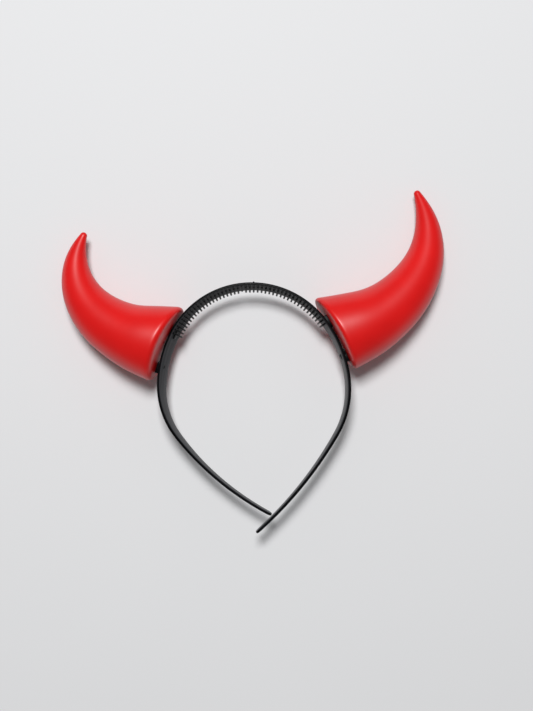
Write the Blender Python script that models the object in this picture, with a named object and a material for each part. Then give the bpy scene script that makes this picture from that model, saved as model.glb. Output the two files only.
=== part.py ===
# Devil horns headband lying on a table: a black comb headband and two hollow red horns.
# Everything is drawn in the plane of the band first, then turned and lifted to the pose at rest.
import math

import bmesh
import bpy
from mathutils import Matrix, Vector

MM = 0.001

# Band path, the middle of its upper edge, walked from the crown down each side
CROWN_X = 1.0
CROWN_Y = 46.7
BAND_HEADING_DEG = -1.5  # how far the crown is turned in the plane
PATH_STEP = 3.2
# arc length mm, turn deg
LEFT_WALK = (
    (61.4, 65.4),
    (30.0, 24.1),
    (35.3, 40.4),
    (74.0, 24.3),
)
RIGHT_WALK = (
    (49.8, 51.5),
    (33.2, 25.8),
    (39.6, 41.3),
    (76.5, 18.4),
)

# Band section down each side
# distance from the crown mm, width mm, thickness mm, flare deg
LEFT_SECTIONS = (
    (0.0, 12.0, 1.6, 14.0),
    (40.0, 12.0, 1.6, 16.5),
    (62.0, 12.0, 1.7, 20.5),
    (85.0, 11.6, 1.9, 19.0),
    (105.0, 10.8, 2.0, 14.5),
    (150.0, 8.0, 1.9, 7.0),
    (199.5, 6.0, 1.7, 3.0),
)
RIGHT_SECTIONS = (
    (0.0, 12.0, 1.6, 14.0),
    (45.0, 12.0, 1.7, 11.0),
    (70.0, 12.0, 1.9, 8.0),
    (100.0, 11.0, 2.0, 6.5),
    (150.0, 8.0, 1.9, 4.0),
    (198.0, 6.0, 1.7, 2.0),
)
EDGE_ROUND = 0.65
END_ROUND = 3.0

# Comb on the inside of the band
TOOTH_PITCH_LEFT = 2.51
TOOTH_PITCH_RIGHT = 2.56
TEETH_LEFT = 24
TEETH_RIGHT = 20
TOOTH_ROOT = 1.4
TOOTH_TIP = 0.6
TOOTH_HEIGHT_CROWN = 1.6
TOOTH_HEIGHT_END = 2.3
TOOTH_TOP_GAP = 0.6
TOOTH_LOW_GAP = 0.4
BROKEN_TOOTH = -3
STUB_HEIGHT = 0.6
GATE_NUB = 1.1

# Horns: one table of sections, shares of the length of the spine
# share, half width mm, half height mm, heading deg of the right horn, heading deg of the left horn
HORN_SECTIONS = (
    (0.000, 24.5, 20.6, -13.1, -13.2),
    (0.153, 21.4, 19.9, -7.0, -9.9),
    (0.300, 18.2, 18.0, 7.2, 1.9),
    (0.439, 15.8, 15.8, 20.9, 15.1),
    (0.576, 13.1, 13.1, 34.4, 31.1),
    (0.714, 10.1, 10.1, 52.9, 51.1),
    (0.861, 6.4, 6.4, 71.9, 74.1),
    (1.000, 2.2, 2.2, 86.0, 92.6),
)
HORN_WALL = 1.8
BASE_PLATE = 2.0
CUT_BLEND = 35.0  # length over which the slant and the hollow of the base fade out
HORN_STEP = 3.6
ROUND_SIDES = 40
CAVITY_SIDES = 26
CAVITY_END = 1.4

# Centre of the base mm, way out in the plane, tilt of the base plate, dip and roll of the body deg,
# length of the spine, round of the rim and depth of the hollow across the plate mm, side of the bend
RIGHT_HORN = {
    "base": (48.7, 16.5, 1.0),
    "way": 28.9,
    "tilt": 6.4,
    "dip": 7.0,
    "roll": 4.0,
    "spine": 117.8,
    "rim": 2.8,
    "hollow": 1.5,
    "bend": 1,
}
LEFT_HORN = {
    "base": (-50.0, 10.2, 2.5),
    "way": 155.8,
    "tilt": 9.6,
    "dip": 8.5,
    "roll": 2.0,
    "spine": 101.15,
    "rim": 3.8,
    "hollow": 2.2,
    "bend": -1,
}

# Tongues of the band that enter slots in the base plates
# place along the base mm, height mm, length mm, depth mm, distance of the root inside the band mm
RIGHT_TONGUES = (
    (8.0, 1.5, 7.5, 6.0, 1.2),
    (-15.5, -2.8, 6.0, 5.0, 2.9),
)
LEFT_TONGUES = (
    (8.0, -2.8, 7.5, 5.0, 1.5),
    (-15.5, -2.8, 6.0, 5.0, 3.2),
)
TONGUE_REACH = 5.6
SLOT_GAP = 0.4

# Hook beside the lower tongue, its tip towards the crown
# place along the base mm, distance into the hollow mm, width across mm
HOOK_ROOT = (-13.4, 0.7, 2.2)
HOOK_TIP = (-10.8, 0.7, 0.5)
HOOK_LOW = 0.5
HOOK_HIGH = 3.5

# Pose at rest
REST_PITCH_DEG = 0.25  # ends of the band higher than its crown
REST_ROLL_DEG = -0.37


def clearScene():
    for obj in list(bpy.data.objects):
        bpy.data.objects.remove(obj, do_unlink=True)


def makeMaterial(name, colour, roughness, metallic=0.0):
    material = bpy.data.materials.new(name)
    material.use_nodes = True
    shader = material.node_tree.nodes["Principled BSDF"]
    shader.inputs["Base Color"].default_value = (*colour, 1.0)
    shader.inputs["Roughness"].default_value = roughness
    shader.inputs["Metallic"].default_value = metallic
    return material


def smoothTable(rows, at, column):
    """Value of a table column at a place, with a smooth curve through its rows."""
    places = [row[0] for row in rows]
    values = [row[column] for row in rows]
    at = min(max(at, places[0]), places[-1])
    slopes = []
    for i in range(len(rows)):
        low = max(i - 1, 0)
        high = min(i + 1, len(rows) - 1)
        slopes.append((values[high] - values[low]) / (places[high] - places[low]))
    for i in range(len(rows) - 1):
        if at <= places[i + 1]:
            break
    span = places[i + 1] - places[i]
    t = (at - places[i]) / span
    first = values[i] * (1 + 2 * t) * (1 - t) ** 2 + values[i + 1] * t * t * (3 - 2 * t)
    return first + span * (slopes[i] * t * (1 - t) ** 2 - slopes[i + 1] * t * t * (1 - t))


def walkPoint(walk, side, distance):
    """Point and heading on the walk; side is 1 for the left arm and -1 for the right arm."""
    x = CROWN_X
    y = CROWN_Y
    heading = math.radians(BAND_HEADING_DEG) + (math.pi if side > 0 else 0.0)
    for length, turn in walk:
        step = min(distance, length)
        bend = side * math.radians(turn) / length
        x += (math.sin(heading + bend * step) - math.sin(heading)) / bend
        y -= (math.cos(heading + bend * step) - math.cos(heading)) / bend
        heading += bend * step
        distance -= step
        if distance <= 0.0:
            break
    return Vector((x, y, 0.0)), heading


def bandFrame(place):
    """Section frame at a signed distance from the crown, left negative."""
    side = 1 if place < 0 else -1
    walk = LEFT_WALK if side > 0 else RIGHT_WALK
    rows = LEFT_SECTIONS if side > 0 else RIGHT_SECTIONS
    distance = abs(place)
    point, heading = walkPoint(walk, side, distance)
    out = Vector((math.sin(heading), -math.cos(heading), 0.0)) * side
    width = smoothTable(rows, distance, 1)
    thickness = smoothTable(rows, distance, 2)
    flare = math.radians(smoothTable(rows, distance, 3))
    up = Vector((0.0, 0.0, 1.0))
    across = out * math.cos(flare) - up * math.sin(flare)
    down = -up * math.cos(flare) - out * math.sin(flare)
    along = Vector((math.cos(heading), math.sin(heading), 0.0))
    top = point + up * (width * math.cos(flare) / 2)
    return top, across, down, along, width, thickness


def bandSection(width, thickness):
    """Rounded outline as pairs of across and down, from the middle of the upper edge."""
    corner = min(EDGE_ROUND, thickness * 0.42)
    half = thickness / 2 - corner
    centres = (
        (half, corner, -90),
        (half, width - corner, 0),
        (-half, width - corner, 90),
        (-half, corner, 180),
    )
    outline = []
    for a, b, start in centres:
        for part in range(3):
            angle = math.radians(start + part * 45)
            outline.append((a + corner * math.cos(angle), b + corner * math.sin(angle)))
    return outline


def closedMesh(name, rings, material, strips=False):
    """Solid from rings of points of equal count, with strips across its first end where that is hollowed."""
    bm = bmesh.new()
    made = [[bm.verts.new(point * MM) for point in ring] for ring in rings]
    count = len(rings[0])
    for one, two in zip(made, made[1:]):
        for i in range(count):
            bm.faces.new((one[i], one[(i + 1) % count], two[(i + 1) % count], two[i]))
    first = made[0]
    if strips:
        for i in range(count // 2):
            corners = (first[i], first[i + 1], first[count - i - 1], first[-i])
            bm.faces.new(list(dict.fromkeys(corners)))
    else:
        bm.faces.new(first[::-1])
    bm.faces.new(made[-1])
    return finishMesh(name, bm, material)


def finishMesh(name, bm, material):
    bmesh.ops.recalc_face_normals(bm, faces=bm.faces)
    for face in bm.faces:
        face.smooth = True
    for edge in bm.edges:
        edge.smooth = edge.calc_face_angle(0.0) < math.radians(38)
    mesh = bpy.data.meshes.new(name)
    bm.to_mesh(mesh)
    bm.free()
    obj = bpy.data.objects.new(name, mesh)
    bpy.context.scene.collection.objects.link(obj)
    if material:
        mesh.materials.append(material)
    return obj


def blocksMesh(name, blocks, material=None):
    """Separate eight-cornered blocks, each given as its two end faces of four corners."""
    bm = bmesh.new()
    for low, high in blocks:
        one = [bm.verts.new(point * MM) for point in low]
        two = [bm.verts.new(point * MM) for point in high]
        for i in range(4):
            bm.faces.new((one[i], one[(i + 1) % 4], two[(i + 1) % 4], two[i]))
        bm.faces.new(one[::-1])
        bm.faces.new(two)
    return finishMesh(name, bm, material)


def cutOrJoin(target, other, operation):
    modifier = target.modifiers.new(other.name, "BOOLEAN")
    modifier.operation = operation
    modifier.solver = "EXACT"
    modifier.object = other
    other.hide_render = True
    other.display_type = "WIRE"


def bandPlaces():
    """Stations along the band, closer together on its rounded ends."""
    left = sum(row[0] for row in LEFT_WALK)
    right = sum(row[0] for row in RIGHT_WALK)
    count = round((left + right - 2 * END_ROUND) / PATH_STEP)
    inner = [END_ROUND - left + (left + right - 2 * END_ROUND) * i / count for i in range(count + 1)]
    ends = [END_ROUND * (1 - math.cos(math.radians(a))) for a in (0, 30, 60)]
    start = [(-left + gap, 1 - gap / END_ROUND) for gap in ends]
    stop = [(right - gap, 1 - gap / END_ROUND) for gap in reversed(ends)]
    return start + [(place, 0.0) for place in inner] + stop


def bandRings():
    rings = []
    for place, toEnd in bandPlaces():
        top, across, down, _, width, thickness = bandFrame(place)
        full = math.sqrt(max(1 - toEnd ** 2, 0.0))
        narrow = width * (0.4 + 0.6 * full)
        thin = thickness * (0.55 + 0.45 * full)
        start = top + down * ((width - narrow) / 2)
        rings.append([start + across * a + down * b for a, b in bandSection(narrow, thin)])
    return rings


def toothBlocks():
    blocks = []
    for index in range(-TEETH_LEFT, TEETH_RIGHT + 1):
        place = index * (TOOTH_PITCH_LEFT if index < 0 else TOOTH_PITCH_RIGHT)
        top, across, down, along, width, thickness = bandFrame(place)
        share = abs(index) / TEETH_LEFT
        height = TOOTH_HEIGHT_CROWN + (TOOTH_HEIGHT_END - TOOTH_HEIGHT_CROWN) * share
        if index == BROKEN_TOOTH:
            height = STUB_HEIGHT
        root = -thickness / 2 + 0.7
        tip = -thickness / 2 - height
        ends = []
        for depth, inset in ((TOOTH_TOP_GAP, 0.5), (width - TOOTH_LOW_GAP, -0.5)):
            corners = (
                (root, -TOOTH_ROOT / 2, 0.0),
                (root, TOOTH_ROOT / 2, 0.0),
                (tip, TOOTH_TIP / 2, inset),
                (tip, -TOOTH_TIP / 2, inset),
            )
            ends.append([top + across * a + along * t + down * (depth + d) for a, t, d in corners])
        blocks.append(ends)
    return blocks


def gateNub():
    top, across, down, along, _, thickness = bandFrame(0.0)
    half = GATE_NUB / 2
    outer = thickness / 2 + half
    corners = ((0.2, -half), (0.2, half), (outer, 0.7 * half), (outer, -0.7 * half))
    ends = []
    for depth in (0.5, 0.5 + 1.6 * GATE_NUB):
        ends.append([top + across * a + along * t + down * depth for a, t in corners])
    return ends


def hornTurn(horn, tilt):
    turn = Matrix.Rotation(math.radians(horn["way"]), 4, "Z") @ Matrix.Rotation(math.radians(tilt), 4, "Y")
    return turn @ Matrix.Rotation(math.radians(-horn["roll"]), 4, "X")


def baseMatrix(horn):
    """Frame of the base plate: X straight out of it, Y along it and Z up it."""
    return Matrix.Translation(horn["base"]) @ hornTurn(horn, horn["tilt"])


def hornSpine(horn):
    """Points every half millimetre along the spine as distance, point and angle of the section."""
    length = horn["spine"]
    column = 3 if horn["bend"] > 0 else 4
    first = HORN_SECTIONS[0][column]
    steps = round(length / 0.5)
    point = Vector((0.0, 0.0, 0.0))
    spine = []
    for i in range(steps + 1):
        heading = smoothTable(HORN_SECTIONS, i / steps, column)
        distance = i / steps * length
        face = heading - first * max(0.0, 1 - distance / CUT_BLEND)
        spine.append((distance, point.copy(), math.radians(face) * horn["bend"]))
        angle = math.radians(heading) * horn["bend"]
        point += Vector((math.cos(angle), math.sin(angle), 0.0)) * (length / steps)
    return spine


def hornRing(horn, spine, distance, inset, sides, push=0.0):
    """Oval section at a distance along the spine, inset all round and pushed on along its own axis."""
    step = spine[1][0]
    index = min(int(distance / step), len(spine) - 2)
    share = distance / step - index
    _, one, angleOne = spine[index]
    _, two, angleTwo = spine[index + 1]
    angle = angleOne + (angleTwo - angleOne) * share
    fade = max(0.0, 1 - distance / CUT_BLEND)
    tilt = horn["dip"] + (horn["tilt"] - horn["dip"]) * fade
    centre = Vector(horn["base"]) + hornTurn(horn, horn["dip"]) @ one.lerp(two, share)
    turn = hornTurn(horn, tilt) @ Matrix.Rotation(angle, 4, "Z")
    ring = []
    for k in range(sides):
        y = (halfWidth(horn, distance) - inset) * math.cos(2 * math.pi * k / sides)
        z = (halfHeight(horn, distance) - inset) * math.sin(2 * math.pi * k / sides)
        hollow = horn["hollow"] * fade * (1 - (y / HORN_SECTIONS[0][1]) ** 2)
        ring.append(centre + turn @ Vector((push + hollow, y, z)))
    return ring


def halfWidth(horn, distance):
    return smoothTable(HORN_SECTIONS, distance / horn["spine"], 1)


def halfHeight(horn, distance):
    return smoothTable(HORN_SECTIONS, distance / horn["spine"], 2)


def hornRings(horn):
    spine = hornSpine(horn)
    length = horn["spine"]
    rim = []
    for angle in (90, 60, 30):
        distance = horn["rim"] * (1 - math.sin(math.radians(angle)))
        inset = horn["rim"] * (1 - math.cos(math.radians(angle)))
        rim.append(hornRing(horn, spine, distance, inset, ROUND_SIDES))
    count = round((length - horn["rim"]) / HORN_STEP)
    body = []
    for i in range(count + 1):
        distance = horn["rim"] + (length - horn["rim"]) * i / count
        body.append(hornRing(horn, spine, distance, 0.0, ROUND_SIDES))
    tip = halfWidth(horn, length)
    cap = []
    for angle in (30, 60, 80):
        turn = math.radians(angle)
        inset = tip * (1 - math.cos(turn))
        cap.append(hornRing(horn, spine, length, inset, ROUND_SIDES, tip * math.sin(turn)))
    return rim + body + cap


def cavityRings(horn):
    spine = hornSpine(horn)
    length = horn["spine"]
    rings = []
    last = length
    while halfWidth(horn, last) - HORN_WALL < CAVITY_END:
        last -= 0.5
    count = round((last - BASE_PLATE) / (HORN_STEP * 1.4))
    for i in range(count + 1):
        distance = BASE_PLATE + (last - BASE_PLATE) * i / count
        inset = HORN_WALL
        if i == 0:
            inset += horn["rim"] * 0.4
        rings.append(hornRing(horn, spine, distance, inset, CAVITY_SIDES))
    return rings


def baseBlock(horn, reach, y, z, length, depth):
    """Block in the frame of the base plate, between two distances from it."""
    ends = []
    for x in reach:
        corners = ((-1, -1), (1, -1), (1, 1), (-1, 1))
        points = [Vector((x, horn["bend"] * (y + length / 2 * a), z + depth / 2 * b)) for a, b in corners]
        ends.append([baseMatrix(horn) @ point for point in points])
    return ends


def tongueBlocks(horn, tongues):
    blocks = []
    for y, z, length, depth, root in tongues:
        blocks.append(baseBlock(horn, (-root, TONGUE_REACH), y, z, length, depth))
    return blocks


def hookBlock(horn):
    ends = []
    for y, front, width in (HOOK_ROOT, HOOK_TIP):
        back = front - width
        corners = ((front, HOOK_LOW), (front, HOOK_HIGH), (back, HOOK_HIGH), (back, HOOK_LOW))
        ends.append([baseMatrix(horn) @ Vector((x, horn["bend"] * y, z)) for x, z in corners])
    return ends


def slotBlocks(horn, tongues):
    reach = (-2.0, BASE_PLATE + 4.0)
    gap = 2 * SLOT_GAP
    return [baseBlock(horn, reach, y, z, length + gap, depth + gap) for y, z, length, depth, _ in tongues]


def buildHorn(name, horn, tongues, material):
    shell = closedMesh(name, hornRings(horn), material, strips=True)
    cavity = closedMesh(name + "_cavity", cavityRings(horn), None, strips=True)
    slots = blocksMesh(name + "_slots", slotBlocks(horn, tongues))
    cutOrJoin(shell, cavity, "DIFFERENCE")
    cutOrJoin(shell, slots, "DIFFERENCE")
    return [shell, cavity, slots]


def restMatrix(objects):
    """Pose at rest, with the middle of the box over the origin and the lowest point at zero."""
    turn = (Matrix.Rotation(math.radians(-REST_PITCH_DEG), 4, "X")
            @ Matrix.Rotation(math.radians(REST_ROLL_DEG), 4, "Y"))
    points = [turn @ vertex.co for obj in objects for vertex in obj.data.vertices]
    low = [min(point[i] for point in points) for i in range(3)]
    high = [max(point[i] for point in points) for i in range(3)]
    shift = Vector((-(low[0] + high[0]) / 2, -(low[1] + high[1]) / 2, -low[2]))
    return Matrix.Translation(shift) @ turn


def main():
    clearScene()
    black = makeMaterial("black_plastic", (0.012, 0.013, 0.015), 0.38)
    red = makeMaterial("red_plastic", (0.62, 0.012, 0.010), 0.36)
    band = closedMesh("headband", bandRings(), black)
    teeth = blocksMesh("comb_teeth", toothBlocks() + [gateNub()])
    tongues = tongueBlocks(RIGHT_HORN, RIGHT_TONGUES) + tongueBlocks(LEFT_HORN, LEFT_TONGUES)
    tongues = blocksMesh("horn_tongues", tongues)
    hooks = blocksMesh("horn_hooks", [hookBlock(RIGHT_HORN), hookBlock(LEFT_HORN)])
    for added in (teeth, tongues, hooks):
        cutOrJoin(band, added, "UNION")
    left = buildHorn("horn_left", LEFT_HORN, LEFT_TONGUES, red)
    right = buildHorn("horn_right", RIGHT_HORN, RIGHT_TONGUES, red)
    rest = restMatrix([band, left[0], right[0]])
    for obj in [band, teeth, tongues, hooks] + left + right:
        obj.data.transform(rest)


main()
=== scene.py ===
# Devil horns headband: two satin red horns on a black comb headband, lying on a pale table
# Lengths are in mm and angles in degrees; every mesh ends up in metres

import math

import bmesh
import bpy
from mathutils import Matrix, Vector


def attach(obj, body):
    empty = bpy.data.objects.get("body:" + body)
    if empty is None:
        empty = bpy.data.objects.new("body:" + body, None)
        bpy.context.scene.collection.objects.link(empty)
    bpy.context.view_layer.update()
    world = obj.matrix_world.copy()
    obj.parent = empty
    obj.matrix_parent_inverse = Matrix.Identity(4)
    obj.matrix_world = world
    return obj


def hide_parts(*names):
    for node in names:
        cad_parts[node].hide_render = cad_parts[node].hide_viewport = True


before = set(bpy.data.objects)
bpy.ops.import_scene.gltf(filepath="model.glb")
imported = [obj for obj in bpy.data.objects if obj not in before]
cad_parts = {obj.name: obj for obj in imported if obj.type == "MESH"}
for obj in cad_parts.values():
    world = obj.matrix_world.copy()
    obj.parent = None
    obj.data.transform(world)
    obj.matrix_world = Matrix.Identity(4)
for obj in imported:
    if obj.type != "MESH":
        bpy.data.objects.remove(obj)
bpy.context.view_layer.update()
scene = bpy.context.scene
mm = 0.001


# Sockets that can be added and multiplied, in shader trees and geometry trees alike
class Wire:
    def __init__(self, net, socket):
        self.net = net
        self.socket = socket

    def __add__(self, other):
        return self.net.maths("ADD", self, other)

    def __sub__(self, other):
        return self.net.maths("SUBTRACT", self, other)

    def __rsub__(self, other):
        return self.net.maths("SUBTRACT", other, self)

    def __mul__(self, other):
        return self.net.maths("MULTIPLY", self, other)

    def __truediv__(self, other):
        return self.net.maths("DIVIDE", self, other)

    def __rtruediv__(self, other):
        return self.net.maths("DIVIDE", other, self)

    def __neg__(self):
        return self.net.maths("MULTIPLY", self, -1.0)

    __radd__ = __add__
    __rmul__ = __mul__

    def out(self, name):  # another output of the same node
        return Wire(self.net, self.socket.node.outputs[name])


class Net:
    def __init__(self, tree):
        self.tree = tree

    def add(self, kind, settings=None, values=None, output=0):
        node = self.tree.nodes.new(kind)
        for name, value in (settings or {}).items():
            if name == "stops":
                self.setStops(node.color_ramp, value)
            else:
                setattr(node, name, value)
        for name, value in (values or {}).items():
            self.feed(node.inputs[name], value)
        return Wire(self, node.outputs[output]) if len(node.outputs) else None

    def feed(self, socket, value):
        if isinstance(value, Wire):
            self.tree.links.new(value.socket, socket)
            return
        size = len(socket.default_value) if hasattr(socket.default_value, "__len__") else 0
        if size and isinstance(value, (int, float)):
            value = (value,) * size
        elif size == 4 and len(value) == 3:
            value = (*value, 1.0)
        socket.default_value = value

    def setStops(self, ramp, stops):  # each stop is a place and a grey level
        while len(ramp.elements) > 1:
            ramp.elements.remove(ramp.elements[-1])
        for i, (place, grey) in enumerate(stops):
            element = ramp.elements[0] if i == 0 else ramp.elements.new(place)
            element.position = place
            element.color = (grey, grey, grey, 1.0)

    def maths(self, operation, *terms):
        vector = any(isinstance(t, Wire) and t.socket.type == "VECTOR" for t in terms)
        kind = "ShaderNodeVectorMath" if vector else "ShaderNodeMath"
        return self.add(kind, {"operation": operation}, dict(enumerate(terms)))

    def mixColours(self, share, one, two):
        return self.add("ShaderNodeMix", {"data_type": "RGBA"}, {0: share, 6: one, 7: two}, 2)

    def ramp(self, value, *stops):
        return self.add("ShaderNodeValToRGB", {"stops": stops}, {"Fac": value})

    def noise(self, where, scale, detail=2.0, rough=0.5):
        values = {"Vector": where, "Scale": scale, "Detail": detail, "Roughness": rough}
        return self.add("ShaderNodeTexNoise", None, values)

    def scaled(self, vector, size):
        return self.add("ShaderNodeVectorMath", {"operation": "SCALE"}, {0: vector, "Scale": size})

    def attribute(self, name, kind):  # a named attribute inside a geometry tree
        return self.add("GeometryNodeInputNamedAttribute", {"data_type": kind}, {"Name": name})

    def sample(self, geometry, value, index, kind):
        values = {"Geometry": geometry, "Value": value, "Index": index}
        return self.add("GeometryNodeSampleIndex", {"data_type": kind}, values)


def geometryTree(name, inputs):
    tree = bpy.data.node_groups.new(name, "GeometryNodeTree")
    tree.interface.new_socket("Geometry", in_out="INPUT", socket_type="NodeSocketGeometry")
    for title, kind in inputs.items():
        tree.interface.new_socket(title, in_out="INPUT", socket_type="NodeSocket" + kind)
    tree.interface.new_socket("Geometry", in_out="OUTPUT", socket_type="NodeSocketGeometry")
    net = Net(tree)
    return net, net.add("NodeGroupInput")


def endTree(net, geometry, material):
    real = net.add("GeometryNodeRealizeInstances", None, {"Geometry": geometry})
    painted = net.add("GeometryNodeSetMaterial", None, {"Geometry": real, "Material": material})
    net.add("NodeGroupOutput", None, {"Geometry": painted})
    return net.tree


def guideLine(name, points, attributes):  # open line of points that carries attributes
    mesh = bpy.data.meshes.new(name)
    mesh.from_pydata([tuple(p) for p in points], [(i, i + 1) for i in range(len(points) - 1)], [])
    for title, values in attributes.items():
        if hasattr(values[0], "__len__"):
            layer = mesh.attributes.new(title, "FLOAT_VECTOR", "POINT")
            layer.data.foreach_set("vector", [c for v in values for c in v])
        else:
            layer = mesh.attributes.new(title, "FLOAT", "POINT")
            layer.data.foreach_set("value", values)
    return mesh


def runTree(name, guide, tree, values):  # evaluates the tree on the guide and keeps a plain mesh
    holder = bpy.data.objects.new(name, guide)
    scene.collection.objects.link(holder)
    modifier = holder.modifiers.new(tree.name, "NODES")
    modifier.node_group = tree
    sockets = {item.name: item.identifier for item in tree.interface.items_tree
               if item.item_type == "SOCKET" and item.in_out == "INPUT"}
    for title, value in values.items():
        modifier[sockets[title]] = value
    graph = bpy.context.evaluated_depsgraph_get()
    mesh = bpy.data.meshes.new_from_object(holder.evaluated_get(graph))
    holder.modifiers.remove(modifier)
    bpy.data.objects.remove(holder)
    return mesh


def smoothTable(rows, at, column):  # smooth curve through the rows of a table
    places = [row[0] for row in rows]
    values = [row[column] for row in rows]
    at = min(max(at, places[0]), places[-1])
    slopes = []
    for i in range(len(rows)):
        low = max(i - 1, 0)
        high = min(i + 1, len(rows) - 1)
        slopes.append((values[high] - values[low]) / (places[high] - places[low]))
    for i in range(len(rows) - 1):
        if at <= places[i + 1]:
            break
    span = places[i + 1] - places[i]
    t = (at - places[i]) / span
    first = values[i] * (1 + 2 * t) * (1 - t) ** 2 + values[i + 1] * t * t * (3 - 2 * t)
    return first + span * (slopes[i] * t * (1 - t) ** 2 - slopes[i + 1] * t * t * (1 - t))


# How it lies: on its two horns, a little turned out of the plane of the band
rest = {
    "pitch": 0.25,
    "roll": -0.37,
    "shift": (-0.373, -0.855, 20.492),
}


def restMatrix():
    turn = Matrix.Rotation(math.radians(-rest["pitch"]), 4, "X")
    turn = turn @ Matrix.Rotation(math.radians(rest["roll"]), 4, "Y")
    return Matrix.Translation(Vector(rest["shift"]) * mm) @ turn


def placePiece(name, mesh, matrix):  # the finished piece sits at the origin, its place is in its mesh
    mesh.transform(matrix)
    mesh.name = name
    piece = bpy.data.objects.new(name, mesh)
    scene.collection.objects.link(piece)
    return piece


def shadeByAngle(mesh, limit):
    bm = bmesh.new()
    bm.from_mesh(mesh)
    bmesh.ops.recalc_face_normals(bm, faces=bm.faces)
    for face in bm.faces:
        face.smooth = True
    for edge in bm.edges:
        edge.smooth = edge.calc_face_angle(0.0) < math.radians(limit)
    bm.to_mesh(mesh)
    bm.free()
    return mesh


def blockMesh(name, blocks, bevel, segments):  # eight-cornered blocks with rounded edges
    bm = bmesh.new()
    for low, high in blocks:
        one = [bm.verts.new(point * mm) for point in low]
        two = [bm.verts.new(point * mm) for point in high]
        for i in range(4):
            bm.faces.new((one[i], one[(i + 1) % 4], two[(i + 1) % 4], two[i]))
        bm.faces.new(one[::-1])
        bm.faces.new(two)
    bmesh.ops.recalc_face_normals(bm, faces=bm.faces)
    if bevel:
        bmesh.ops.bevel(bm, geom=bm.edges[:], offset=bevel * mm, segments=segments,
                        affect="EDGES", profile=0.5)
    mesh = bpy.data.meshes.new(name)
    bm.to_mesh(mesh)
    bm.free()
    return mesh


print("stage 1: finishes")

hornRed = {
    "colour": (0.740, 0.003, 0.0025),
    "deep": (0.670, 0.0025, 0.002),
    "roughness": (0.34, 0.39),
    "specular": 0.52,
    "cloud": 38,         # noise scales, waves a metre
    "wave": 260,
    "fine": 1500,
    "grain": 0.05,       # strength and depth of the fine moulded texture
    "grainDepth": 0.4,
}


def redMaterial():
    material = bpy.data.materials.new("satinRedPlastic")
    material.use_nodes = True
    net = Net(material.node_tree)
    shader = material.node_tree.nodes["Principled BSDF"]
    where = net.add("ShaderNodeTexCoord").out("Object")
    cloud = net.noise(where, hornRed["cloud"], 3, 0.55)
    fine = net.noise(where, hornRed["fine"], 2, 0.5)
    wave = net.noise(where, hornRed["wave"], 3, 0.6)
    colour = net.mixColours(net.ramp(cloud, (0.35, 0.0), (0.70, 1.0)), hornRed["deep"], hornRed["colour"])
    net.feed(shader.inputs["Base Color"], colour)
    shader.inputs["Specular IOR Level"].default_value = hornRed["specular"]
    low, high = hornRed["roughness"]
    net.feed(shader.inputs["Roughness"], low + (high - low) * (0.6 * wave + 0.4 * cloud))
    bump = net.add("ShaderNodeBump", None, {
        "Strength": hornRed["grain"],
        "Distance": hornRed["grainDepth"] * mm,
        "Height": 0.6 * fine + 0.4 * wave,
    })
    net.feed(shader.inputs["Normal"], bump)
    return material


combBlack = {
    "colour": (0.0020, 0.0021, 0.0026),
    # slightly lighter streaks along the strip on the outer faces
    "lighterStreak": (0.0055, 0.0058, 0.0070),
    # painted reflection: the inner face is the same black plastic, painted grey with lighter streaks where
    # it catches the light
    "inside": (0.030, 0.031, 0.034),
    "paintedReflectionStreak": (0.085, 0.086, 0.094),
    "roughness": (0.28, 0.38),
    "specular": 0.06,
    "stretch": (18, 900, 520),    # noise along, through and across the strip
    "speck": 900,
    "innerFace": (0.55, 0.78),    # mm inside the middle of the strip, where the painted reflection grey of the inner face begins
    "grain": 0.06,
    "grainDepth": 0.3,
}


def blackMaterial():
    material = bpy.data.materials.new("glossBlackPlastic")
    material.use_nodes = True
    net = Net(material.node_tree)
    shader = material.node_tree.nodes["Principled BSDF"]
    where = net.add("ShaderNodeTexCoord").out("Object")
    place = net.add("ShaderNodeAttribute", {"attribute_name": "place"}).out("Vector")
    flow = net.noise(net.maths("MULTIPLY", place, combBlack["stretch"]), 1, 3, 0.6)
    speck = net.noise(where, combBlack["speck"], 2, 0.5)
    # the streaks give slightly lighter streaks on the outer faces and painted reflection streaks on the
    # inner face
    streaks = net.ramp(flow, (0.40, 0.0), (0.75, 1.0))
    outer = net.mixColours(streaks, combBlack["colour"], combBlack["lighterStreak"])
    # painted reflection: the inner face is painted grey, with lighter painted reflection streaks, instead
    # of black
    innerPaintedReflection = net.mixColours(streaks, combBlack["inside"], combBlack["paintedReflectionStreak"])
    through = net.add("ShaderNodeSeparateXYZ", None, {"Vector": place}).out("Y")
    begins, full = combBlack["innerFace"]
    paintedReflectionShare = net.ramp(through * (-1 / mm), (begins, 0.0), (full, 1.0))
    net.feed(shader.inputs["Base Color"], net.mixColours(paintedReflectionShare, outer, innerPaintedReflection))
    shader.inputs["Specular IOR Level"].default_value = combBlack["specular"]
    low, high = combBlack["roughness"]
    net.feed(shader.inputs["Roughness"], low + (high - low) * (0.7 * flow + 0.3 * speck))
    bump = net.add("ShaderNodeBump", None, {
        "Strength": combBlack["grain"],
        "Distance": combBlack["grainDepth"] * mm,
        "Height": 0.5 * flow + 0.5 * speck,
    })
    net.feed(shader.inputs["Normal"], bump)
    return material


redPlastic = redMaterial()
blackPlastic = blackMaterial()


print("stage 2: table, light and camera")

table = {
    "size": 2.4,
    "colour": (0.752, 0.755, 0.764),
    "patch": (0.738, 0.741, 0.750),
    "cloud": 9,
    "roughness": (0.62, 0.72),
    "specular": 0.25,
}

light = {
    "aim": (0.0, 0.0, 20.0),
    "elevation": 68.5,
    "azimuth": 99,       # 90 is the top of the picture
    "distance": 2100,
    "width": 560,
    "depth": 560,
    "power": 40.8,
    "sky": (0.98, 0.985, 1.0),
    "skyStrength": 0.165,
}

view = {
    "x": 8.26,           # the camera looks straight down from here
    "y": 2.84,
    "height": 760,
    "fov": 32.2,         # of the long side
}


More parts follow.
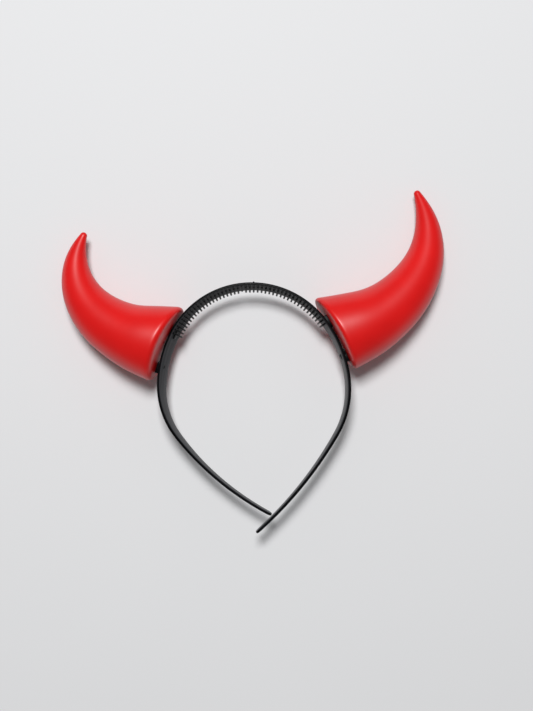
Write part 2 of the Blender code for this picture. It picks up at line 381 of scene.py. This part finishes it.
def buildTable():
    bm = bmesh.new()
    half = table["size"] / 2
    corners = [bm.verts.new((x * half, y * half, 0.0)) for x, y in ((-1, -1), (1, -1), (1, 1), (-1, 1))]
    bm.faces.new(corners)
    mesh = bpy.data.meshes.new("tableTop")
    bm.to_mesh(mesh)
    bm.free()
    top = placePiece("tableTop", mesh, Matrix.Identity(4))
    material = bpy.data.materials.new("paleTable")
    material.use_nodes = True
    net = Net(material.node_tree)
    shader = material.node_tree.nodes["Principled BSDF"]
    where = net.add("ShaderNodeTexCoord").out("Object")
    cloud = net.noise(where, table["cloud"], 2, 0.5)
    net.feed(shader.inputs["Base Color"], net.mixColours(cloud, table["patch"], table["colour"]))
    low, high = table["roughness"]
    net.feed(shader.inputs["Roughness"], low + (high - low) * cloud)
    shader.inputs["Specular IOR Level"].default_value = table["specular"]
    mesh.materials.append(material)


def buildLight():
    data = bpy.data.lights.new("softbox", "AREA")
    data.shape = "RECTANGLE"
    data.size = light["width"] * mm
    data.size_y = light["depth"] * mm
    data.energy = light["power"]
    lamp = bpy.data.objects.new("softbox", data)
    scene.collection.objects.link(lamp)
    up = math.radians(light["elevation"])
    bearing = math.radians(light["azimuth"])
    way = Vector((math.cos(up) * math.cos(bearing), math.cos(up) * math.sin(bearing), math.sin(up)))
    lamp.location = (Vector(light["aim"]) + way * light["distance"]) * mm
    lamp.rotation_euler = way.to_track_quat("Z", "Y").to_euler()
    world = bpy.data.worlds.new("paleRoom")
    world.use_nodes = True
    scene.world = world
    background = world.node_tree.nodes["Background"]
    background.inputs["Color"].default_value = (*light["sky"], 1.0)
    background.inputs["Strength"].default_value = light["skyStrength"]


def buildCamera():
    data = bpy.data.cameras.new("overhead")
    data.sensor_fit = "VERTICAL"
    data.angle = math.radians(view["fov"])
    data.clip_start = 0.01
    camera = bpy.data.objects.new("overhead", data)
    scene.collection.objects.link(camera)
    camera.location = (view["x"] * mm, view["y"] * mm, view["height"] * mm)
    scene.camera = camera
    scene.view_settings.view_transform = "Standard"


buildTable()
buildLight()
buildCamera()


print("stage 3: horns")

horn = {
    # share of the spine, half width, half height, heading of the right horn, heading of the left horn
    "sections": (
        (0.000, 24.5, 20.6, -13.1, -13.2),
        (0.153, 21.4, 19.9, -7.0, -9.9),
        (0.300, 18.2, 18.0, 7.2, 1.9),
        (0.439, 15.8, 15.8, 20.9, 15.1),
        (0.576, 13.1, 13.1, 34.4, 31.1),
        (0.714, 10.1, 10.1, 52.9, 51.1),
        (0.861, 6.4, 6.4, 71.9, 74.1),
        (1.000, 2.2, 2.2, 86.0, 92.6),
    ),
    "cutBlend": 35.0,    # length over which the slant and the hollow of the base fade out
    "wall": 1.8,
    "plate": 2.0,
    "step": 1.3,
    "sides": 112,
    "cavityEnd": 1.4,
    "cavityStep": 4.0,
    "cavitySides": 48,
    "cavityCorner": 0.4,     # inset at the plate, share of the rim
    "plateRings": 8,
    "rimTurn": 10,           # degrees between the rings of the rim
    "tipTurn": 18,
    "crease": 45,            # sharper edges than this stay hard
    "merge": 0.004,
}

rightHorn = {
    "base": (48.7, 16.5, 1.0),
    "way": 28.9,
    "tilt": 6.4,         # of the base plate
    "dip": 7.0,          # of the body
    "roll": 4.0,
    "spine": 117.8,
    "rim": 2.8,
    "hollow": 1.5,
    "bend": 1,
}

leftHorn = {
    "base": (-50.0, 10.2, 2.5),
    "way": 155.8,
    "tilt": 9.6,
    "dip": 8.5,
    "roll": 2.0,
    "spine": 101.15,
    "rim": 3.8,
    "hollow": 2.2,
    "bend": -1,
}


def hornTurn(one, tilt):
    turn = Matrix.Rotation(math.radians(one["way"]), 4, "Z") @ Matrix.Rotation(math.radians(tilt), 4, "Y")
    return turn @ Matrix.Rotation(math.radians(-one["roll"]), 4, "X")


def baseMatrix(one):  # X straight out of the base plate, Y along it and Z up it
    return Matrix.Translation(one["base"]) @ hornTurn(one, one["tilt"])


def hornSpine(one):  # distance, point and angle of the section, every half millimetre
    length = one["spine"]
    column = 3 if one["bend"] > 0 else 4
    first = horn["sections"][0][column]
    steps = round(length / 0.5)
    point = Vector((0.0, 0.0, 0.0))
    spine = []
    for i in range(steps + 1):
        heading = smoothTable(horn["sections"], i / steps, column)
        distance = i / steps * length
        face = heading - first * max(0.0, 1 - distance / horn["cutBlend"])
        spine.append((distance, point.copy(), math.radians(face) * one["bend"]))
        angle = math.radians(heading) * one["bend"]
        point += Vector((math.cos(angle), math.sin(angle), 0.0)) * (length / steps)
    return spine


def halfWidth(one, distance):
    return smoothTable(horn["sections"], distance / one["spine"], 1)


def halfHeight(one, distance):
    return smoothTable(horn["sections"], distance / one["spine"], 2)


def ringGuide(name, one, rings):  # rings are distance, half width, half height, push along their own axis
    spine = hornSpine(one)
    step = spine[1][0]
    centres, names = [], ("ahead", "sideways", "upward", "reach", "rise", "hollow", "curve")
    values = {title: [] for title in names}
    for distance, reach, rise, push in rings:
        index = min(int(distance / step), len(spine) - 2)
        share = distance / step - index
        turn = spine[index][2] + (spine[index + 1][2] - spine[index][2]) * share
        fade = max(0.0, 1 - distance / horn["cutBlend"])
        tilt = one["dip"] + (one["tilt"] - one["dip"]) * fade
        point = hornTurn(one, one["dip"]) @ spine[index][1].lerp(spine[index + 1][1], share)
        axes = (hornTurn(one, tilt) @ Matrix.Rotation(turn, 4, "Z")).to_3x3()
        centres.append((Vector(one["base"]) + point + axes.col[0] * push) * mm)
        hollow = one["hollow"] * fade * mm
        curve = hollow / (horn["sections"][0][1] * mm) ** 2
        row = (*axes.col, reach * mm, rise * mm, hollow, curve)
        for title, value in zip(names, row):
            values[title].append(value)
    return guideLine(name, centres, values)


def ringAt(one, distance, inset, push=0.0):
    return distance, halfWidth(one, distance) - inset, halfHeight(one, distance) - inset, push


def skinRings(one):
    length = one["spine"]
    wide = halfWidth(one, 0.0) - one["rim"]
    high = halfHeight(one, 0.0) - one["rim"]
    count = horn["plateRings"]
    rings = [(0.0, wide * part / count, high * part / count, 0.0) for part in range(count)]
    for angle in range(90, 0, -horn["rimTurn"]):
        turn = math.radians(angle)
        rings.append(ringAt(one, one["rim"] * (1 - math.sin(turn)), one["rim"] * (1 - math.cos(turn))))
    count = round((length - one["rim"]) / horn["step"])
    for i in range(count + 1):
        rings.append(ringAt(one, one["rim"] + (length - one["rim"]) * i / count, 0.0))
    tip = halfWidth(one, length)
    for angle in range(horn["tipTurn"], 91, horn["tipTurn"]):
        turn = math.radians(angle)
        rings.append((length, tip * math.cos(turn), tip * math.cos(turn), tip * math.sin(turn)))
    return rings


def cavityRings(one):
    last = one["spine"]
    while halfWidth(one, last) - horn["wall"] < horn["cavityEnd"]:
        last -= 0.5
    count = round((last - horn["plate"]) / horn["cavityStep"])
    rings = [(horn["plate"], 0.0, 0.0, 0.0)]
    for i in range(count + 1):
        distance = horn["plate"] + (last - horn["plate"]) * i / count
        corner = horn["cavityCorner"] * one["rim"] if i == 0 else 0.0
        rings.append(ringAt(one, distance, horn["wall"] + corner))
    return rings + [(last, 0.0, 0.0, 0.0)]


def ringTree():  # sweeps round sections along a line whose points carry their frames
    net, given = geometryTree("hornSkin", {"Sides": "Int", "Material": "Material"})
    line = given.out("Geometry")
    columns = given.out("Sides") + 1
    count = net.add("GeometryNodeAttributeDomainSize", {"component": "MESH"}, {"Geometry": line})
    grid = net.add("GeometryNodeMeshGrid", None, {"Vertices X": count, "Vertices Y": columns})
    index = net.add("GeometryNodeInputIndex")
    ring = net.maths("FLOOR", index / columns + 0.0001)
    around = (index - ring * columns) * (2 * math.pi) / given.out("Sides")
    centre = net.sample(line, net.add("GeometryNodeInputPosition"), ring, "FLOAT_VECTOR")
    ahead, sideways, upward = [net.sample(line, net.attribute(title, "FLOAT_VECTOR"), ring, "FLOAT_VECTOR")
                               for title in ("ahead", "sideways", "upward")]
    reach, rise, hollow, curve = [net.sample(line, net.attribute(title, "FLOAT"), ring, "FLOAT")
                                  for title in ("reach", "rise", "hollow", "curve")]
    y = reach * net.maths("COSINE", around)
    z = rise * net.maths("SINE", around)
    x = hollow - curve * y * y
    spot = centre + net.scaled(ahead, x) + net.scaled(sideways, y) + net.scaled(upward, z)
    shaped = net.add("GeometryNodeSetPosition", None, {"Geometry": grid, "Position": spot})
    values = {"Geometry": shaped, "Distance": horn["merge"] * mm}
    joined = net.add("GeometryNodeMergeByDistance", None, values)
    return endTree(net, joined, given.out("Material"))


tongue = {
    # place along the base, height, length, depth, distance of the root inside the band
    "right": ((8.0, 1.5, 7.5, 6.0, 1.2), (-15.5, -2.8, 6.0, 5.0, 2.9)),
    "left": ((8.0, -2.8, 7.5, 5.0, 1.5), (-15.5, -2.8, 6.0, 5.0, 3.2)),
    "reach": 5.6,
    "slotGap": 0.4,
    "slotReach": (-2.0, 6.0),    # of the cutter, from the base plate
    "bevel": 0.35,
}


def tongueRows(one):
    return tongue["right"] if one["bend"] > 0 else tongue["left"]


def baseBlock(one, reach, y, z, length, depth):  # block between two distances from the base plate
    ends = []
    for x in reach:
        corners = ((-1, -1), (1, -1), (1, 1), (-1, 1))
        points = [Vector((x, one["bend"] * (y + length / 2 * a), z + depth / 2 * b)) for a, b in corners]
        ends.append([baseMatrix(one) @ point for point in points])
    return ends


def slotBlocks(one):
    gap = 2 * tongue["slotGap"]
    return [baseBlock(one, tongue["slotReach"], y, z, length + gap, depth + gap)
            for y, z, length, depth, _ in tongueRows(one)]


def cutMesh(name, mesh, cutters):  # cuts the closed cutter meshes out of the mesh
    body = bpy.data.objects.new(name, mesh)
    scene.collection.objects.link(body)
    tools = []
    for i, cutter in enumerate(cutters):
        tool = bpy.data.objects.new(name + "Cutter" + str(i), cutter)
        scene.collection.objects.link(tool)
        modifier = body.modifiers.new(tool.name, "BOOLEAN")
        modifier.operation = "DIFFERENCE"
        modifier.solver = "EXACT"
        modifier.object = tool
        tools.append(tool)
    graph = bpy.context.evaluated_depsgraph_get()
    result = bpy.data.meshes.new_from_object(body.evaluated_get(graph))
    for obj in (body, *tools):
        bpy.data.objects.remove(obj)
    return result


def buildHorn(name, one, node, tree):
    skin = runTree(name + "Skin", ringGuide("skinLine", one, skinRings(one)), tree,
                   {"Sides": horn["sides"], "Material": redPlastic})
    hollow = runTree(name + "Hollow", ringGuide("hollowLine", one, cavityRings(one)), tree,
                     {"Sides": horn["cavitySides"], "Material": redPlastic})
    slots = blockMesh(name + "Slots", slotBlocks(one), 0, 1)
    crease = horn["crease"]
    mesh = cutMesh(name, shadeByAngle(skin, crease), [shadeByAngle(hollow, crease), slots])
    piece = placePiece(name, shadeByAngle(mesh, crease), restMatrix())
    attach(piece, "root")
    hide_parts(node)
    return piece


hornTree = ringTree()
buildHorn("hornShellLeft", leftHorn, "horn_left", hornTree)
buildHorn("hornShellRight", rightHorn, "horn_right", hornTree)


print("stage 4: headband")

band = {
    "crown": (1.0, 46.7),
    "heading": -1.5,
    "step": 1.0,
    # arc length and turn, from the crown down each side
    "leftWalk": ((61.4, 65.4), (30.0, 24.1), (35.3, 40.4), (74.0, 24.3)),
    "rightWalk": ((49.8, 51.5), (33.2, 25.8), (39.6, 41.3), (76.5, 18.4)),
    # distance from the crown, width, thickness, flare
    "leftSections": (
        (0.0, 12.0, 1.6, 14.0),
        (40.0, 12.0, 1.6, 16.5),
        (62.0, 12.0, 1.7, 20.5),
        (85.0, 11.6, 1.9, 19.0),
        (105.0, 10.8, 2.0, 14.5),
        (150.0, 8.0, 1.9, 7.0),
        (199.5, 6.0, 1.7, 3.0),
    ),
    "rightSections": (
        (0.0, 12.0, 1.6, 14.0),
        (45.0, 12.0, 1.7, 11.0),
        (70.0, 12.0, 1.9, 8.0),
        (100.0, 11.0, 2.0, 6.5),
        (150.0, 8.0, 1.9, 4.0),
        (198.0, 6.0, 1.7, 2.0),
    ),
    "edgeRound": 0.55,
    "endRound": 3.0,
    "outline": 40,
}


def bandFrame(place):  # section at a signed distance from the crown, left negative
    side = 1 if place < 0 else -1
    walk = band["leftWalk"] if side > 0 else band["rightWalk"]
    rows = band["leftSections"] if side > 0 else band["rightSections"]
    distance = abs(place)
    x, y = band["crown"]
    heading = math.radians(band["heading"]) + (math.pi if side > 0 else 0.0)
    left = distance
    for length, turn in walk:
        step = min(left, length)
        bend = side * math.radians(turn) / length
        x += (math.sin(heading + bend * step) - math.sin(heading)) / bend
        y -= (math.cos(heading + bend * step) - math.cos(heading)) / bend
        heading += bend * step
        left -= step
        if left <= 0.0:
            break
    out = Vector((math.sin(heading), -math.cos(heading), 0.0)) * side
    width = smoothTable(rows, distance, 1)
    thickness = smoothTable(rows, distance, 2)
    flare = math.radians(smoothTable(rows, distance, 3))
    up = Vector((0.0, 0.0, 1.0))
    across = out * math.cos(flare) - up * math.sin(flare)
    down = -up * math.cos(flare) - out * math.sin(flare)
    along = Vector((math.cos(heading), math.sin(heading), 0.0))
    top = Vector((x, y, 0.0)) + up * (width * math.cos(flare) / 2)
    return top, across, down, along, width, thickness


def bandStations():  # distance, and how far into the rounded end from 0 to 1
    left = sum(row[0] for row in band["leftWalk"])
    right = sum(row[0] for row in band["rightWalk"])
    end = band["endRound"]
    count = round((left + right - 2 * end) / band["step"])
    gaps = [end * (1 - math.cos(math.radians(a))) for a in range(0, 90, 10)]
    stations = [(gap - left, 1 - gap / end) for gap in gaps]
    stations += [(end - left + (left + right - 2 * end) * i / count, 0.0) for i in range(count + 1)]
    return stations + [(right - gap, 1 - gap / end) for gap in reversed(gaps)]


def bandGuide():
    centres, names = [], ("across", "down", "width", "thick", "round", "walked")
    values = {name: [] for name in names}
    stations = bandStations()
    for i, (place, toEnd) in enumerate([stations[0], *stations, stations[-1]]):
        top, across, down, _, width, thickness = bandFrame(place)
        full = math.sqrt(max(1 - toEnd ** 2, 0.0))
        closed = i in (0, len(stations) + 1)  # the first and last rings close the ends
        narrow = 0.0 if closed else width * (0.4 + 0.6 * full)
        thin = 0.0 if closed else thickness * (0.55 + 0.45 * full)
        centres.append((top + down * (width / 2)) * mm)
        corner = min(band["edgeRound"], thin * 0.42)
        for name, value in zip(names, (across, down, narrow * mm, thin * mm, corner * mm, place * mm)):
            values[name].append(value)
    return guideLine("bandLine", centres, values)


def stripTree():  # sweeps a rounded rectangle along a line whose points carry its frame and sizes
    net, given = geometryTree("bandStrip", {"Outline": "Int", "Material": "Material"})
    line = given.out("Geometry")
    columns = given.out("Outline") + 1
    count = net.add("GeometryNodeAttributeDomainSize", {"component": "MESH"}, {"Geometry": line})
    grid = net.add("GeometryNodeMeshGrid", None, {"Vertices X": count, "Vertices Y": columns})
    index = net.add("GeometryNodeInputIndex")
    ring = net.maths("FLOOR", index / columns + 0.0001)
    around = (index - ring * columns + 0.5) * (2 * math.pi) / given.out("Outline")
    centre = net.sample(line, net.add("GeometryNodeInputPosition"), ring, "FLOAT_VECTOR")
    across = net.sample(line, net.attribute("across", "FLOAT_VECTOR"), ring, "FLOAT_VECTOR")
    down = net.sample(line, net.attribute("down", "FLOAT_VECTOR"), ring, "FLOAT_VECTOR")
    width = net.sample(line, net.attribute("width", "FLOAT"), ring, "FLOAT")
    thick = net.sample(line, net.attribute("thick", "FLOAT"), ring, "FLOAT")
    corner = net.sample(line, net.attribute("round", "FLOAT"), ring, "FLOAT")
    walked = net.sample(line, net.attribute("walked", "FLOAT"), ring, "FLOAT")
    cosine = net.maths("COSINE", around)
    sine = net.maths("SINE", around)
    a = net.maths("SIGN", cosine) * (thick / 2 - corner) + corner * cosine
    b = net.maths("SIGN", sine) * (width / 2 - corner) + corner * sine
    place = net.add("ShaderNodeCombineXYZ", None, {"X": walked, "Y": a, "Z": b})
    spot = centre + net.scaled(across, a) + net.scaled(down, b)
    shaped = net.add("GeometryNodeSetPosition", None, {"Geometry": grid, "Position": spot})
    marked = net.add("GeometryNodeStoreNamedAttribute", {"data_type": "FLOAT_VECTOR"},
                     {"Geometry": shaped, "Name": "place", "Value": place})
    joined = net.add("GeometryNodeMergeByDistance", None, {"Geometry": marked, "Distance": 0.000002})
    return endTree(net, joined, given.out("Material"))


def finishBlack(piece):
    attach(piece, "root")
    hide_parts("headband")


strip = runTree("bandStrip", bandGuide(), stripTree(), {
    "Outline": band["outline"],
    "Material": blackPlastic,
})
finishBlack(placePiece("bandStrip", shadeByAngle(strip, 50), restMatrix()))


print("stage 5: comb")

comb = {
    "pitchLeft": 2.51,
    "pitchRight": 2.56,
    "left": 24,
    "right": 20,
    "root": 1.5,
    "tip": 1.05,
    "heightCrown": 1.6,
    "heightEnd": 2.3,
    "topGap": 0.6,
    "lowGap": 0.4,
    "sink": 0.7,         # how deep a tooth is rooted in the band
    "broken": -3,        # this tooth has snapped off
    "stub": 0.6,
    "spread": 0.04,      # how much the heights differ
    "seed": 7,
    # share of the length and how far the outline is drawn in, at either end
    "ends": ((0.0, 0.16), (0.02, 0.05), (0.06, 0.0)),
}


def toothMesh():  # one tooth, 1 mm high and 1 mm long before it is stretched, root at x 0
    half = [(0.0, comb["root"] / 2), (0.45, comb["root"] * 0.40), (0.88, comb["tip"] / 2),
            (0.97, comb["tip"] * 0.30)]
    outline = [(x, -y) for x, y in half] + [(1.0, 0.0)] + half[::-1]
    levels = list(comb["ends"]) + [(1 - z, inset) for z, inset in reversed(comb["ends"])]
    bm = bmesh.new()
    rings = []
    for z, inset in levels:
        size = (1 - inset) * mm
        rings.append([bm.verts.new((x * size, y * size, z * mm)) for x, y in outline])
    count = len(outline)
    for one, two in zip(rings, rings[1:]):
        for i in range(count):
            bm.faces.new((one[i], one[(i + 1) % count], two[(i + 1) % count], two[i]))
    bm.faces.new(rings[0][::-1])
    bm.faces.new(rings[-1])
    bmesh.ops.recalc_face_normals(bm, faces=bm.faces)
    mesh = bpy.data.meshes.new("combTooth")
    bm.to_mesh(mesh)
    bm.free()
    return mesh


def combGuide():
    roots, across, down, heights, lengths = [], [], [], [], []
    for i in range(-comb["left"], comb["right"] + 1):
        pitch = comb["pitchLeft"] if i < 0 else comb["pitchRight"]
        top, sideways, lower, _, width, thickness = bandFrame(i * pitch)
        share = abs(i) / comb["left"]
        height = comb["heightCrown"] + (comb["heightEnd"] - comb["heightCrown"]) * share
        if i == comb["broken"]:
            height = comb["stub"]
        start = comb["sink"] - thickness / 2
        roots.append((top + sideways * start + lower * comb["topGap"]) * mm)
        across.append(-sideways)
        down.append(lower)
        heights.append(height + comb["sink"])
        lengths.append(width - comb["topGap"] - comb["lowGap"])
    return guideLine("combLine", roots, {
        "across": across,
        "down": down,
        "height": heights,
        "long": lengths,
    })


def combTree():  # a tooth on every point of the line
    net, given = geometryTree("combTeeth", {"Tooth": "Object", "Spread": "Float", "Seed": "Int",
                                            "Material": "Material"})
    tooth = net.add("GeometryNodeObjectInfo", None, {"Object": given.out("Tooth")}).out("Geometry")
    axes = {"primary_axis": "Z", "secondary_axis": "X"}
    turn = net.add("FunctionNodeAxesToRotation", axes, {
        "Primary Axis": net.attribute("down", "FLOAT_VECTOR"),
        "Secondary Axis": net.attribute("across", "FLOAT_VECTOR"),
    })
    change = net.add("FunctionNodeRandomValue", {"data_type": "FLOAT"},
                     {2: -1.0 * given.out("Spread"), 3: given.out("Spread"), "Seed": given.out("Seed")}, 1)
    size = net.add("ShaderNodeCombineXYZ", None, {
        "X": net.attribute("height", "FLOAT") * (1 + change),
        "Y": 1.0,
        "Z": net.attribute("long", "FLOAT"),
    })
    teeth = net.add("GeometryNodeInstanceOnPoints", None, {
        "Points": given.out("Geometry"),
        "Instance": tooth,
        "Rotation": turn,
        "Scale": size,
    })
    return endTree(net, teeth, given.out("Material"))


tooth = bpy.data.objects.new("combTooth", toothMesh())
scene.collection.objects.link(tooth)
teeth = runTree("combTeeth", combGuide(), combTree(), {
    "Tooth": tooth,
    "Spread": comb["spread"],
    "Seed": comb["seed"],
    "Material": blackPlastic,
})
bpy.data.objects.remove(tooth)
finishBlack(placePiece("combTeeth", shadeByAngle(teeth, 40), restMatrix()))


print("stage 6: tongues, hooks and gate mark")

hook = {
    # place along the base, distance into the hollow, width across
    "root": (-13.4, 0.7, 2.2),
    "tip": (-10.8, 0.7, 0.5),
    "low": 0.5,
    "high": 3.5,
    "bevel": 0.18,
}

gate = {
    "size": 1.1,
    "bevel": 0.15,
}


def tongueBlocks(one):
    blocks = []
    for y, z, length, depth, root in tongueRows(one):
        blocks.append(baseBlock(one, (-root, tongue["reach"]), y, z, length, depth))
    return blocks


def hookBlock(one):
    ends = []
    for y, front, width in (hook["root"], hook["tip"]):
        back = front - width
        corners = ((front, hook["low"]), (front, hook["high"]), (back, hook["high"]), (back, hook["low"]))
        ends.append([baseMatrix(one) @ Vector((x, one["bend"] * y, z)) for x, z in corners])
    return ends


def gateBlock():
    top, across, down, along, _, thickness = bandFrame(0.0)
    size = gate["size"]
    outer = thickness / 2 + 0.5 * size
    ends = []
    for depth in (0.5, 0.5 + 1.6 * size):
        corners = ((0.2, -1), (0.2, 1), (outer, 0.7), (outer, -0.7))
        ends.append([top + across * a + along * t * size / 2 + down * depth for a, t in corners])
    return ends


for side, one in (("Left", leftHorn), ("Right", rightHorn)):
    for name, blocks, bevel in (("tongues", tongueBlocks(one), tongue["bevel"]),
                                ("hook", [hookBlock(one)], hook["bevel"])):
        mesh = shadeByAngle(blockMesh(name + side, blocks, bevel, 2), 30)
        mesh.materials.append(blackPlastic)
        finishBlack(placePiece(name + side, mesh, restMatrix()))
mesh = shadeByAngle(blockMesh("gateMark", [gateBlock()], gate["bevel"], 2), 30)
mesh.materials.append(blackPlastic)
finishBlack(placePiece("gateMark", mesh, restMatrix()))
